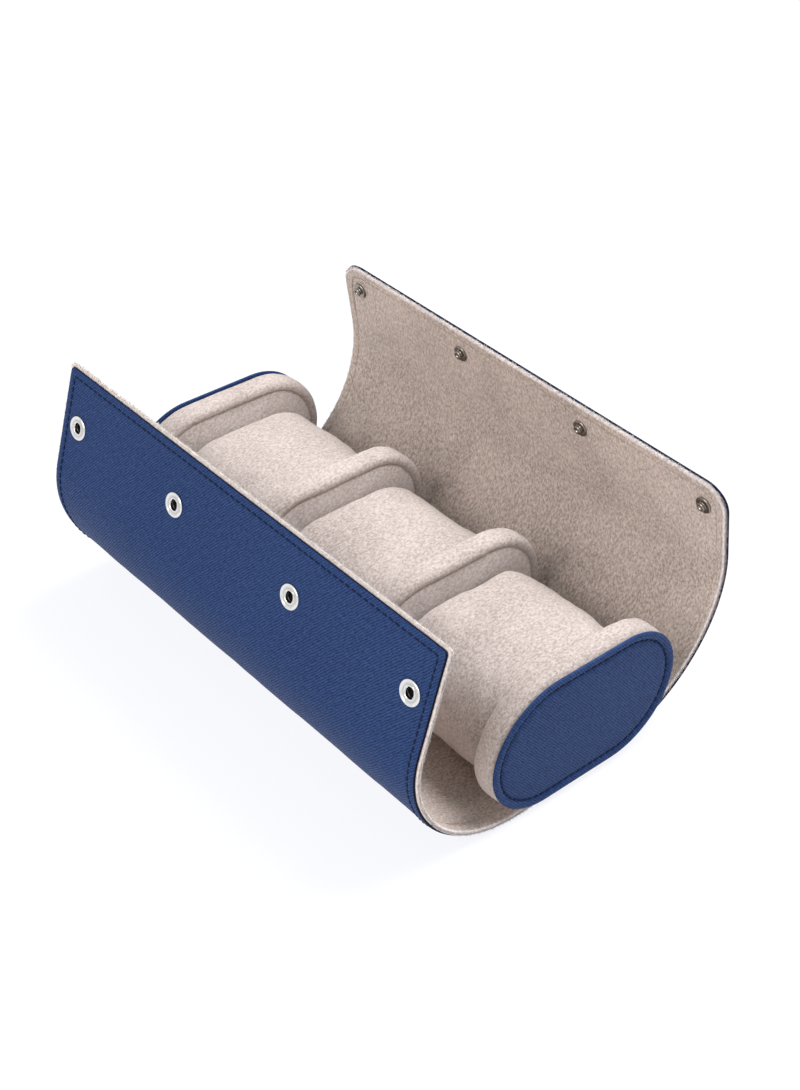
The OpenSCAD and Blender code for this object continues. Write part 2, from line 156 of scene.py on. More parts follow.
def grid_normals(p):
    """The outward direction at each point of a grid of points."""
    n = np.cross(np.gradient(p, axis=1), np.gradient(p, axis=0))
    return n / np.linalg.norm(n, axis=-1, keepdims=True)


def mesh_object(name, verts, faces, materials, uv=None, normals=None):
    """A smooth-shaded mesh, with its own cut pattern (uv) and normals where they are given."""
    mesh = bpy.data.meshes.new(name)
    verts = np.asarray(verts, float).reshape(-1, 3)
    mesh.from_pydata([tuple(v) for v in verts], [], [tuple(int(i) for i in f) for f in faces])
    if uv is not None:
        layer = mesh.uv_layers.new(name="cut")
        loops = np.zeros(len(mesh.loops), int)
        mesh.loops.foreach_get("vertex_index", loops)
        layer.data.foreach_set("uv", np.asarray(uv)[loops].astype(np.float32).ravel())
    mesh.polygons.foreach_set("use_smooth", [True] * len(mesh.polygons))
    for material in materials:
        mesh.materials.append(material)
    if normals is not None:
        mesh.normals_split_custom_set_from_vertices([tuple(n) for n in normals])
    mesh.update()
    obj = bpy.data.objects.new(name, mesh)
    bpy.context.scene.collection.objects.link(obj)
    return obj


def mark_points(obj, name, values):
    """Lets each point of a piece carry a value, which its material reads by that name."""
    layer = obj.data.attributes.new(name, "FLOAT", "POINT")
    layer.data.foreach_set("value", np.asarray(values, np.float32))


def slab(name, outer, inner, uv, n_outer, n_inner, material, mark, marked, kept):
    """A closed piece of sheet from two equal grids of points, its outside and its inside, without
    the cells that aren't kept. Each point carries the value marked under the name mark."""
    rows, cols = outer.shape[:2]
    count = rows * cols
    index = np.arange(count).reshape(rows, cols)
    top = np.stack([index[:-1, :-1], index[1:, :-1], index[1:, 1:], index[:-1, 1:]], -1)[kept]
    sides = np.stack([top, np.roll(top, -1, axis=1)], -1).reshape(-1, 2).tolist()
    turned = {(q, p) for p, q in sides}
    rim = np.array([(p, q) for p, q in sides if (p, q) not in turned])
    walls = np.column_stack([rim[:, 1], rim[:, 0], rim[:, 0] + count, rim[:, 1] + count])
    faces = np.concatenate([top, top[:, ::-1] + count, walls])
    used, faces = np.unique(faces, return_inverse=True)
    verts = np.concatenate([outer.reshape(-1, 3), inner.reshape(-1, 3)])[used]
    normals = np.concatenate([n_outer.reshape(-1, 3), n_inner.reshape(-1, 3)])[used]
    pattern = np.concatenate([uv.reshape(-1, 2)] * 2)[used]
    piece = mesh_object(name, verts, faces.reshape(-1, 4), [material], pattern, normals)
    mark_points(piece, mark, np.tile(np.clip(marked, 0, 1).ravel(), 2)[used])
    return piece


# The sheet is made in six lengths, cut in the middle of the panels, and each bends at
# one crease: name, start and end, crease, the two bodies, the nodes that it stands for.
lengths = []
for side, flap, creases, edge in ((-1, "front", front_creases, front_l),
                                  (1, "rear", rear_creases, rear_l)):
    cuts = [0, (creases[0] + creases[1]) / 2, (creases[1] + creases[2]) / 2, edge]
    bodies = ["base"] + [f"{flap}_flap_{part}" for part in ("lower", "middle", "upper")]
    for i, part in enumerate(("lower", "middle", "upper")):
        lengths.append(dict(
            name=f"{flap}_{part}", t=(side * cuts[i], side * cuts[i + 1]), crease=side * creases[i],
            bodies=(bodies[i], bodies[i + 1]),
            nodes=["base_{}" if i == 0 else f"{flap}_{{}}_{i}", f"{flap}_{{}}_{i + 1}"]))

half_bend = 11 * mm


def bend_at_crease(obj, length, layer=None):
    """Sets a piece of the wrap's place into its points, and hides that layer's nodes, which it stands for.
    """
    crease, side = length["crease"], math.copysign(1, length["crease"])
    start, end = (in_wrap(0, np.array(crease + side * d), sheet_t / 2) for d in (-half_bend, half_bend))
    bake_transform(obj)
    if layer:
        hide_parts(*[node.format(layer) for node in length["nodes"]])


def new_finish(name):
    """A new material, its node tree and the sockets of its shader."""
    finish = bpy.data.materials.new(name)
    finish.use_nodes = True
    tree = finish.node_tree
    return finish, tree, tree.nodes["Principled BSDF"].inputs


def feed(tree, source, socket):
    """Gives a socket a link, a number or a colour."""
    if isinstance(source, bpy.types.NodeSocket):
        tree.links.new(source, socket)
    else:
        socket.default_value = (*source, 1) if socket.type == "RGBA" else source


def add_node(tree, kind, **inputs):
    """A new node with its inputs fed; an input's name has _ for a space."""
    made = tree.nodes.new(kind)
    for name, source in inputs.items():
        feed(tree, source, made.inputs[name.replace("_", " ")])
    return made


def noise(tree, at, scale, detail, **inputs):
    """Even grey noise."""
    made = add_node(tree, "ShaderNodeTexNoise", Vector=at, Scale=scale, Detail=detail, **inputs)
    return made.outputs["Fac"]


def stretched(tree, value, lo, hi, to_lo=0.0, to_hi=1.0):
    """A value stretched so that lo to hi becomes to_lo to to_hi."""
    made = add_node(tree, "ShaderNodeMapRange", Value=value, From_Min=lo, From_Max=hi,
                    To_Min=to_lo, To_Max=to_hi)
    return made.outputs[0]


def reckon(tree, operation, a, b, clamp=False):
    """The result of a sum on two values."""
    made = tree.nodes.new("ShaderNodeMath")
    made.operation, made.use_clamp = operation, clamp
    feed(tree, a, made.inputs[0])
    feed(tree, b, made.inputs[1])
    return made.outputs[0]


def plus(tree, a, b):
    return reckon(tree, "ADD", a, b)


def times(tree, a, b):
    return reckon(tree, "MULTIPLY", a, b)


def blend_colours(tree, share, a, b):
    """Colour a, with that share of colour b."""
    made = tree.nodes.new("ShaderNodeMix")
    made.data_type = "RGBA"
    for source, socket in ((share, 0), (a, 6), (b, 7)):
        feed(tree, source, made.inputs[socket])
    return made.outputs[2]


def shade(colour, strength):
    """The same colour, darker."""
    return tuple(v * strength for v in colour)


def mark_on_points(tree, name):
    """The value that the points carry by that name."""
    made = tree.nodes.new("ShaderNodeAttribute")
    made.attribute_name = name
    return made.outputs["Fac"]


def emboss(tree, skin, height, strength, distance):
    """Raises the surface by the height."""
    raised = add_node(tree, "ShaderNodeBump", Strength=strength, Distance=distance, Height=height)
    tree.links.new(raised.outputs[0], skin["Normal"])


# the last tone is the near-black of the cut edge: its ink, and painted shade on it
navy_dark, navy_light, navy_ink_and_shade = (0.003, 0.009, 0.036), (0.031, 0.068, 0.198), (0.0015, 0.003, 0.012)


def grain_leather(name, coords):
    """Navy leather pressed with two crossed sets of fine diagonal ridges, a little worn. Its
    cut edge is inked, and painted near-black as painted shade. The grain lies on the cut pattern (UV) or on
    the piece (Object)."""
    finish, tree, skin = new_finish(name)
    at = add_node(tree, "ShaderNodeTexCoord").outputs[coords]
    ridges = []
    for turn, pitch, wander in ((-41, 1.02 * mm, 4.2), (48, 0.85 * mm, 4.0)):
        turn = math.radians(turn)
        on_piece = (0, 0, turn) if coords == "UV" else (turn, 0, math.radians(90))
        laid = add_node(tree, "ShaderNodeMapping", Vector=at, Rotation=on_piece)
        wave = add_node(tree, "ShaderNodeTexWave", Vector=laid.outputs[0], Scale=math.pi / 10 / pitch,
                        Distortion=wander, Detail=3.0, Detail_Scale=1.1)
        wave.wave_type, wave.bands_direction = "BANDS", "X"
        ridges.append(wave.outputs["Fac"])
    firm = stretched(tree, noise(tree, at, 420.0, 2.0), 0.35, 0.65, 0.6, 1.0)
    crossed = plus(tree, times(tree, ridges[1], 0.5), 0.5)
    ridge = times(tree, times(tree, ridges[0], crossed), firm)
    broken = noise(tree, at, 700.0, 4.0, Roughness=0.65)
    height = plus(tree, times(tree, ridge, 0.66), times(tree, broken, 0.85))
    clouded = plus(tree, height, times(tree, noise(tree, at, 14.0, 3.0), 0.12))
    colour = blend_colours(tree, stretched(tree, clouded, 0.24, 1.03), navy_dark, navy_light)
    # the cut edge is painted near-black: inked, and painted shade
    colour = blend_colours(tree, mark_on_points(tree, "inked_and_shaded_edge"), colour, navy_ink_and_shade)
    tree.links.new(colour, skin["Base Color"])
    tree.links.new(stretched(tree, height, 0.0, 1.0, 0.70, 0.50), skin["Roughness"])
    skin["Specular IOR Level"].default_value = 0.08
    emboss(tree, skin, height, 1.0, 0.13 * mm)
    return finish


leather = grain_leather("navy_grain_leather", "UV")

# the grid lines across the sheet, with one at each cut between two lengths
grid_step, cut_clear = 1.7 * mm, 0.4 * mm
cuts = sorted({round(v, 7) for length in lengths for v in length["t"]})
t_all = np.concatenate([lines(-front_l, 0, True, False, grid_step)[:-1],
                        lines(0, rear_l, False, True, grid_step)])
ends = (t_all[0], t_all[-1])
t_all = [v for v in t_all if v in ends or min(abs(v - c) for c in cuts) > cut_clear]
t_all = np.unique(np.round(np.concatenate([t_all, cuts]), 7))


def rows_of(length):
    """The grid lines that lie in one length of the sheet."""
    lo, hi = sorted(length["t"])
    return np.where((t_all >= lo - 1e-6) & (t_all <= hi + 1e-6))[0]


def sheet_layer(front_out, rear_out):
    """The square grid of one layer, cut that much larger than the pattern at the front and at the
    rear, with its corners rounded, and each point's distance from the edge."""
    ease_in, ease_over, edge_zone = 20 * mm, 60 * mm, 8 * mm
    x, t = np.meshgrid(lines(-half_wrap, half_wrap, True, True, 1.9 * mm), t_all)
    out = front_out + (rear_out - front_out) * np.clip((t + ease_in) / ease_over, 0, 1)
    to_end = half_wrap - np.abs(x)
    to_edge = np.where(t < 0, front_l + t, rear_l - t)
    x = x + np.sign(x) * out * np.clip(1 - to_end / edge_zone, 0, 1)
    t = t + np.sign(t) * out * np.clip(1 - to_edge / edge_zone, 0, 1)
    x, t = round_corners(x, t, out)
    return x, t, np.maximum(np.minimum(to_end, to_edge), 0)


def bell(v, at, width, height):
    """A bell curve, that high at one place and fading by that width to either side of it."""
    return height * np.exp(-((v - at) / width) ** 2)


def round_over(e, r):
    """How far a rounded edge falls away at the distance e from it."""
    return r - np.sqrt(np.maximum(r * r - np.maximum(r - e, 0) ** 2, 0))


# the outside swells beside its edge, is drawn in by the seam and is a little uneven elsewhere
stitch_in, drawn_in, swell, most_uneven = 3.4 * mm, 0.2 * mm, 0.2 * mm, 0.1 * mm
x, t, e = sheet_layer(0, 0)
uneven = ripple(x, t, 3, (0.12 * mm, 46 * mm), (0.04 * mm, 14 * mm))
uneven = np.clip(uneven, -most_uneven, most_uneven) * np.clip((e - 6 * mm) / (6 * mm), 0, 1)
swollen = bell(e, 2.2 * mm, 1.1 * mm, swell) - swell - 0.02 * mm
low = round_over(e, 0.6 * mm) + bell(e, stitch_in, 0.5 * mm, drawn_in) - swollen - uneven
outside = in_wrap(x, t, low)
inside = in_wrap(x, t, leather_t - round_over(e, 0.15 * mm))
pattern = np.stack([x, t], -1)
n_out, n_in = -grid_normals(outside), grid_normals(inside)

# holes are punched for the barrels of the press studs' sockets
stud_x = [-104 * mm, -36.4 * mm, 36.4 * mm, 104 * mm]
front_row, rear_row = front_l - 23.8 * mm, rear_l - 11.8 * mm
hole_r = 2.4 * mm
solid = np.ones((x.shape[0] - 1, x.shape[1] - 1), bool)
for at in stud_x:
    gap_x = np.maximum(np.maximum(x[:-1, :-1] - at, at - x[:-1, 1:]), 0)
    gap_t = np.maximum(np.maximum(t[:-1, :-1] + front_row, -front_row - t[1:, :-1]), 0)
    solid &= np.hypot(gap_x, gap_t) > hole_r

# each piece's cut edge is painted near-black: inked, and painted shade
for length in lengths:
    rows = rows_of(length)
    piece = slab(f"leather_{length['name']}", outside[rows], inside[rows], pattern[rows], n_out[rows],
                 n_in[rows], leather, "inked_and_shaded_edge", 1.25 - e[rows] / (0.4 * mm), solid[rows[:-1]])
    bend_at_crease(piece, length, "leather")

# ---- Thread ----
# The wrap is lockstitched all round with bonded thread of the leather's own blue on
# the outside and of the suede's own beige on the inside, pulled down into its groove.

def thread(name, dark, light):
    """Twisted bonded thread."""
    finish, tree, skin = new_finish(name)
    twist = noise(tree, add_node(tree, "ShaderNodeTexCoord").outputs["Object"], 2400.0, 2.0)
    tree.links.new(blend_colours(tree, twist, dark, light), skin["Base Color"])
    skin["Roughness"].default_value = 0.7
    skin["Specular IOR Level"].default_value = 0.12
    emboss(tree, skin, twist, 0.6, 0.05 * mm)
    return finish


navy_thread = thread("navy_thread", (0.0015, 0.0045, 0.018), (0.014, 0.030, 0.092))
beige_thread = thread("beige_thread", (0.34, 0.27, 0.21), (0.52, 0.43, 0.35))


def quads_between(rings, around):
    """The faces of a tube of rings, each of that many points."""
    k, first = np.arange(around), np.arange(rings - 1)[:, None] * around
    after = (k + 1) % around
    quads = [first + k, first + after, first + around + after, first + around + k]
    return np.stack(quads, -1).reshape(-1, 4)


def sew(name, path, out, material, pitch=3.4 * mm, length=2.7 * mm, radius=0.34 * mm, lift=0.16 * mm):
    """Stitches along a line of points, each a short bowed length of thread with its ends sunk in."""
    path, out = np.asarray(path, float), np.asarray(out, float)
    run = np.concatenate([[0], np.cumsum(np.linalg.norm(np.diff(path, axis=0), axis=1))])
    count = max(1, int(run[-1] // pitch))
    step = run[-1] / count
    share = np.array([-0.5, -0.42, -0.25, 0, 0.25, 0.42, 0.5])
    at = (np.arange(count)[:, None] + 0.5) * step + share * length * step / pitch
    p = np.stack([np.interp(at, run, path[:, i]) for i in range(3)], -1)
    n = np.stack([np.interp(at, run, out[:, i]) for i in range(3)], -1)
    n /= np.linalg.norm(n, axis=-1, keepdims=True)
    along = np.gradient(p, axis=1)
    along /= np.linalg.norm(along, axis=-1, keepdims=True)
    side = np.cross(along, n)
    swell = (1 - np.abs(2 * share) ** 3.5) ** 0.5
    centre = p + n * ((lift + radius * 0.2) * (swell * 1.9 - 0.9))[None, :, None]
    sides, flattened = 6, 0.8
    a = np.linspace(0, math.tau, sides + 1)[:-1]
    round_it = side[:, :, None] * np.cos(a)[:, None] + n[:, :, None] * flattened * np.sin(a)[:, None]
    verts = centre[:, :, None] + (radius * (0.25 + 0.75 * swell))[:, None, None] * round_it
    per_stitch = len(share) * sides
    starts = np.arange(count) * per_stitch
    faces = (quads_between(len(share), sides) + starts[:, None, None]).reshape(-1, 4).tolist()
    for start in starts:
        end = start + per_stitch - sides
        faces += [[start + j for j in range(sides)][::-1], [end + j for j in range(sides)]]
    return mesh_object(name, verts, faces, [material])


def sew_length(length, name, inset, depth, outward, material, slot, **how):
    """Stitches along one length of the wrap, down both sides and across its free edge."""
    tip, side = length["name"].endswith("upper"), math.copysign(1, length["crease"])
    far = (front_l if side < 0 else rear_l) - inset
    start, end = abs(length["t"][0]), far if tip else abs(length["t"][1])
    edge, step = half_wrap - inset, 0.8 * mm
    s = np.arange(start, end, step)
    runs = [(np.full_like(s, -edge), s), (np.full_like(s, edge), s[::-1] if tip else s)]
    if tip:
        across = np.arange(-edge, edge, step)
        runs.insert(1, (across, np.full_like(across, far)))
        runs = [tuple(np.concatenate(parts) for parts in zip(*runs))]
    for i, (x, s) in enumerate(runs):
        x, t = round_corners(x, side * s)
        n = (in_wrap(x, t, 0.0) - in_wrap(x, t, sheet_t)) * outward
        part = "" if tip else f"_{i + 1}"
        made = sew(f"{name}_{length['name']}{part}", in_wrap(x, t, depth), n, material, **how)
        bend_at_crease(made, length)


for length in lengths:
    sew_length(length, "stitches_outer", stitch_in, 0.36 * mm, 1, navy_thread, "navy_leather",
               radius=0.43 * mm)

# ---- The suede lining ----
# A soft nap microsuede panel, a little thicker than the leather, bonded over the
# boards and sewn to the leather's edge, where its cut rim shows as a pale fuzzy line.

# a pale tone for the suede's cut rim, which also paints light on the pads' panels
pale_rim_and_lit_tone = (0.93, 0.85, 0.83)


def suede(name, coords, deep, mid, pale, depth):
    """Brushed nap: blotches where it was stroked one way or the other, fine fibres and a soft
    sheen. It is paler where its points are marked for it: at a pale cut rim, and where light is painted on."""
    finish, tree, skin = new_finish(name)
    at = add_node(tree, "ShaderNodeTexCoord").outputs[coords]
    combed = add_node(tree, "ShaderNodeMapping", Vector=at, Rotation=(0.4, 0.3, 0.6),
                      Scale=(1.0, 0.55, 0.8)).outputs[0]
    blotch = noise(tree, at, 21.0, 4.0, Roughness=0.6, Distortion=0.6)
    fleck = noise(tree, combed, 1150.0, 3.0, Roughness=0.75)
    fibre = noise(tree, combed, 2600.0, 3.0, Roughness=0.8)
    fine = stretched(tree, fleck, 0.36, 0.64)
    base = blend_colours(tree, stretched(tree, blotch, 0.36, 0.64), deep, mid)
    hollow = blend_colours(tree, depth, base, shade(deep, 0.4))
    tip = blend_colours(tree, depth + 0.1, base, pale)
    nap = blend_colours(tree, fine, hollow, tip)
    # pale for the cut rim, and painted light on the pads' panels
    pale_rim_and_lit = blend_colours(tree, fine, shade(pale_rim_and_lit_tone, 0.66), pale_rim_and_lit_tone)
    colour = blend_colours(tree, mark_on_points(tree, "pale_rim_and_painted_light"), nap, pale_rim_and_lit)
    tree.links.new(colour, skin["Base Color"])
    skin["Roughness"].default_value = 0.95
    skin["Specular IOR Level"].default_value = 0.15
    skin["Sheen Weight"].default_value = 0.35
    skin["Sheen Roughness"].default_value = 0.5
    skin["Sheen Tint"].default_value = (1.0, 0.93, 0.87, 1)
    emboss(tree, skin, plus(tree, fleck, times(tree, fibre, 0.8)), 0.9, 0.45 * mm)
    return finish


lining_suede = suede("lining_suede", "UV", (0.355, 0.282, 0.248), (0.585, 0.472, 0.418),
                     (0.86, 0.755, 0.70), depth=0.48)

# it stands out past the leather at the front and lies back from it at the rear
front_proud, rear_proud = 1.0 * mm, -0.6 * mm
x, t, e = sheet_layer(front_proud, rear_proud)

# under it lie the boards, clear of the edges and of each crease
edge_clear, crease_clear = 7.2 * mm, 2.3 * mm
on_board = np.abs(x) < half_wrap - edge_clear
for side, creases, edge in ((-1, front_creases, front_l), (1, rear_creases, rear_l)):
    for crease in creases:
        on_board &= np.abs(t - side * crease) > crease_clear
    on_board &= side * t < edge - edge_clear

inner_stitch_in = 4.6 * mm
uneven = ripple(x, t, 8, (0.10 * mm, 55 * mm), (0.05 * mm, 17 * mm)) + 0.12 * mm
worn_down = round_over(e, 0.5 * mm) + bell(e, inner_stitch_in, 0.8 * mm, 0.3 * mm)
nap_side = in_wrap(x, t, sheet_t - worn_down - uneven * np.clip(e / (5 * mm), 0, 1))
glued_side = in_wrap(x, t, leather_t + 0.01 * mm + np.where(on_board, board_t, 0))
pattern = np.stack([x, t], -1)
n_nap, n_glued = grid_normals(nap_side), -grid_normals(glued_side)
whole = np.ones((x.shape[0] - 1, x.shape[1] - 1), bool)
for length in lengths:
    rows = rows_of(length)
    piece = slab(f"lining_{length['name']}", glued_side[rows], nap_side[rows], pattern[rows], n_glued[rows],
                 n_nap[rows], lining_suede, "pale_rim_and_painted_light", 1.45 - e[rows] / (0.6 * mm), whole[rows[:-1]])
    bend_at_crease(piece, length, "lining")
    sew_length(length, "stitches_inner", inner_stitch_in, sheet_t - 0.32 * mm, -1, beige_thread, "suede",
               radius=0.2 * mm, lift=0.04 * mm)


def loose_fibres(name, root, out, seed, material):
    """Short tapered fibres that stand out from a line of points, every which way."""
    thick, shortest, longest, spread = 0.15 * mm, 0.1 * mm, 1.1 * mm, 0.34 * mm
    rng = np.random.default_rng(seed)
    out = out / np.linalg.norm(out, axis=1, keepdims=True)
    tip = root + out * rng.uniform(shortest, longest, (len(root), 1)) + rng.normal(0, spread, root.shape)
    side = rng.normal(0, 1, root.shape)
    side /= np.linalg.norm(side, axis=1, keepdims=True)
    other = np.cross(out, side)
    behind = root - side * thick / 2
    foot = [root + side * thick, behind + other * thick, behind - other * thick]
    verts = np.stack([*foot, tip], 1).reshape(-1, 3)
    first = np.arange(len(root))[:, None, None] * 4
    faces = (np.array([[0, 1, 3], [1, 2, 3], [2, 0, 3]]) + first).reshape(-1, 3)
    return mesh_object(name, verts, faces, [material])


fibre_suede = suede("fibre_suede", "Object", (0.66, 0.58, 0.555), (0.80, 0.72, 0.69),
                    (0.93, 0.86, 0.84), depth=0.56)
fibres_per_m = 13 / mm
for i, length in enumerate(lengths):
    side, tip = math.copysign(1, length["crease"]), length["name"].endswith("upper")
    # they are rooted just inside the cut
    edge_l, cut = (front_l, front_proud) if side < 0 else (rear_l, rear_proud)
    cut -= 0.1 * mm
    rng = np.random.default_rng(60 + i)
    near, far = abs(length["t"][0]), abs(length["t"][1]) + (cut if tip else 0)
    s = rng.uniform(near, far, int((far - near) * fibres_per_m))
    x = np.concatenate([np.full_like(s, -half_wrap - cut), np.full_like(s, half_wrap + cut)])
    s = np.concatenate([s, s])
    if tip:
        across = rng.uniform(-half_wrap, half_wrap, int(2 * half_wrap * fibres_per_m))
        x, s = np.concatenate([x, across]), np.concatenate([s, np.full_like(across, edge_l + cut)])
    depth = rng.uniform(leather_t + 0.15 * mm, sheet_t - 0.4 * mm, len(x))
    root = in_wrap(*round_corners(x, side * s, cut), depth)
    # the point 2 mm further in gives the direction in which a fibre stands out
    back_x = x - np.sign(x) * 2 * mm * (np.abs(x) > half_wrap - mm)
    back_s = s - 2 * mm * (s > edge_l - mm)
    behind = in_wrap(*round_corners(back_x, side * back_s, cut), depth)
    fringe = loose_fibres(f"lining_fibres_{length['name']}", root, root - behind, 80 + i, fibre_suede)
    bend_at_crease(fringe, length)

# ---- Padded dividers, end caps and cushions ----
# Each is foam in a sewn suede cover: a band round the rim and a flat panel on each
# face, joined by a seam that is pulled down into the foam.

divider_t, cap_pad_t, bay_l = 11.5 * mm, 12 * mm, 62.5 * mm
pad_z = sheet_t + section_h / 2
divider_x = (bay_l + divider_t) / 2
cap_x = divider_x + divider_t / 2 + bay_l + cap_pad_t / 2

# the cushions stand just clear of the lining and have a little play in their bays
cushion_w, cushion_h, cushion_l = 86 * mm, 54 * mm, bay_l - 1.2 * mm
cushion_x, cushion_z = bay_l + divider_t, sheet_t + 0.3 * mm + cushion_h / 2

pad_suede = suede("pad_suede", "Object", (0.385, 0.318, 0.292), (0.52, 0.442, 0.412),
                  (0.74, 0.665, 0.64), depth=0.40)
pale_thread = thread("pale_thread", (0.43, 0.35, 0.30), (0.66, 0.57, 0.51))

# the foam is open-celled, off-white and matt
foam, tree, skin = new_finish("cushion_foam")
at = add_node(tree, "ShaderNodeTexCoord").outputs["Object"]
cells = add_node(tree, "ShaderNodeTexVoronoi", Vector=at, Scale=900.0).outputs["Distance"]
tree.links.new(blend_colours(tree, cells, (0.55, 0.53, 0.48), (0.82, 0.80, 0.74)), skin["Base Color"])
emboss(tree, skin, cells, 0.8, 0.4 * mm)
skin["Roughness"].default_value = 0.95


def oval_loop(w, h, inset, straight, arc):
    """Y and Z of points round a flat-sided oval, set in from it: the top, then the right-hand end,
    the bottom and the left-hand end, with that many steps along a straight and round an end."""
    flat, r = (w - h) / 2, h / 2 - inset
    line = np.linspace(-flat, flat, straight + 1)[:-1]
    turn = np.linspace(math.pi / 2, -math.pi / 2, arc + 1)[:-1]
    top = np.stack([line, np.full_like(line, r)], -1)
    right_end = np.stack([flat + r * np.cos(turn), r * np.sin(turn)], -1)
    return np.concatenate([top, right_end, -top, -right_end])


def oval_shell(w, h, rows, straight, arc):
    """A closed mesh of ovals, one for each (inset, x), with rungs across the first and the last."""
    loops = []
    for inset, x in rows:
        yz = oval_loop(w, h, inset, straight, arc)
        loops.append(np.column_stack([np.full(len(yz), x), yz]))
    n = len(loops[0])
    faces = quads_between(len(loops), n).tolist()
    start = straight + arc // 2
    for first, turned in ((0, False), ((len(loops) - 1) * n, True)):
        for i in range(n // 2):
            rung = [(start - i) % n, (start - i - 1) % n, (start + i + 1) % n, (start + i) % n]
            rung = [first + q for q in dict.fromkeys(rung)]
            faces.append(rung[::-1] if turned else rung)
    return np.concatenate(loops), faces


def pad_rows(h, t, edge_r, seam_in, sunk, crown, smaller, across):
    """Where the ovals of a cover lie: from the middle of one face, over the rim, to the other's.
    A face slopes down to its seam by crown, and a narrow crease pulls the seam in by sunk."""
    # they lie wide apart on a face and close together at its seam
    face = list(np.arange(h / 2 - 4 * mm, seam_in + 2.4 * mm, -3.2 * mm))
    face += [seam_in + d * mm for d in (1.7, 0.8, 0.35, 0, -0.35, -0.8)]
    if seam_in - edge_r > 1.8 * mm:
        face.append((seam_in + edge_r) / 2)
    half = []
    for inset in face:
        d = inset - seam_in
        slope = 4.2 * mm if d > 0 else 1.0 * mm
        half.append((inset, t / 2 - smaller - bell(d, 0, 0.45 * mm, sunk) - bell(d, 0, slope, crown)))
    for a in np.radians((0, 22, 45, 68, 90)):
        half.append((edge_r - edge_r * math.sin(a), t / 2 - edge_r + edge_r * math.cos(a) - smaller))
    last = half[-1][1]
    band = [(0, x) for x in np.linspace(last, -last, across + 1)[1:-1]]
    return half + band + [(inset, -x) for inset, x in half[::-1]]


def points_of(obj):
    """Where the points of a piece are."""
    return np.array([v.co for v in obj.data.vertices])


def normals_of(obj):
    """The outward directions at the points of a piece."""
    return np.array([v.normal for v in obj.data.vertices])


def move_points(obj, points):
    """Moves the points of a piece to those places."""
    obj.data.vertices.foreach_set("co", points.astype(np.float32).ravel())
    obj.data.update()


def fill_cover(cover, held, most):
    """Fills a cover: the cloth swells under pressure while its seams are held, by no more than
    that much."""
    group = cover.vertex_groups.new(name="held")
    group.add([int(i) for i in held], 1.0, "REPLACE")
    cloth = cover.modifiers.new("filling", "CLOTH")
    how = cloth.settings
    how.use_pressure, how.uniform_pressure_force = True, 4.0
    how.effector_weights.gravity = 0
    how.vertex_group_mass = "held"
    how.tension_stiffness = how.compression_stiffness = 25
    how.bending_stiffness = 2.0
    scene, settled_by = bpy.context.scene, 20
    for step in range(1, settled_by + 1):
        scene.frame_set(step)
    swollen = points_of(cover.evaluated_get(bpy.context.evaluated_depsgraph_get()))
    cut = points_of(cover)
    cover.modifiers.remove(cloth)
    cover.vertex_groups.clear()
    scene.frame_set(1)
    move = swollen - cut
    far = np.linalg.norm(move, axis=1, keepdims=True)
    move_points(cover, cut + move * np.minimum(1, most / np.maximum(far, 1e-9)))


def finer(obj, levels):
    """Applies a subdivision surface."""
    modifier = obj.modifiers.new("finer", "SUBSURF")
    modifier.levels = modifier.render_levels = levels
    seen = obj.evaluated_get(bpy.context.evaluated_depsgraph_get())
    mesh, coarse = bpy.data.meshes.new_from_object(seen), obj.data
    obj.modifiers.clear()
    obj.data = mesh
    bpy.data.meshes.remove(coarse)


def keep_inside(points, w, h, t, edge_r):
    """Holds points inside the soft-edged oval slab that the pad may fill."""
    flat = (w - h) / 2
    side = np.clip(points[:, 1], -flat, flat)
    spoke = np.stack([points[:, 1] - side, points[:, 2]], -1)
    r, x = np.linalg.norm(spoke, axis=1), np.abs(points[:, 0])
    over_x = np.maximum(x - (t / 2 - edge_r), 0)
    over_r = np.maximum(r - (h / 2 - edge_r), 0)
    both = np.hypot(over_x, over_r)
    k = np.where(both > edge_r, edge_r / np.maximum(both, 1e-9), 1)
    new_x = np.sign(points[:, 0]) * (np.minimum(x, t / 2 - edge_r) + over_x * k)
    new_r = np.minimum(r, h / 2 - edge_r) + over_r * k
    scale = new_r / np.maximum(r, 1e-9)
    return np.column_stack([new_x, side + spoke[:, 0] * scale, spoke[:, 1] * scale])


def on_face(obj, w, h, inset, side, middle):
    """Points and outward directions round one face of a piece, felt for from well outside it."""
    loop, well_out = oval_loop(w, h, inset, straight=46, arc=90), side * 100 * mm
    at, out = [], []
    bpy.context.view_layer.update()
    for y, z in np.concatenate([loop, loop[:1]]):
        start = Vector((middle[0] + well_out, middle[1] + y, middle[2] + z))
        hit, where, normal, _ = obj.ray_cast(start, Vector((-side, 0, 0)))
        if hit:
            at.append(where)
            out.append(normal)
    return np.array(at), np.array(out)


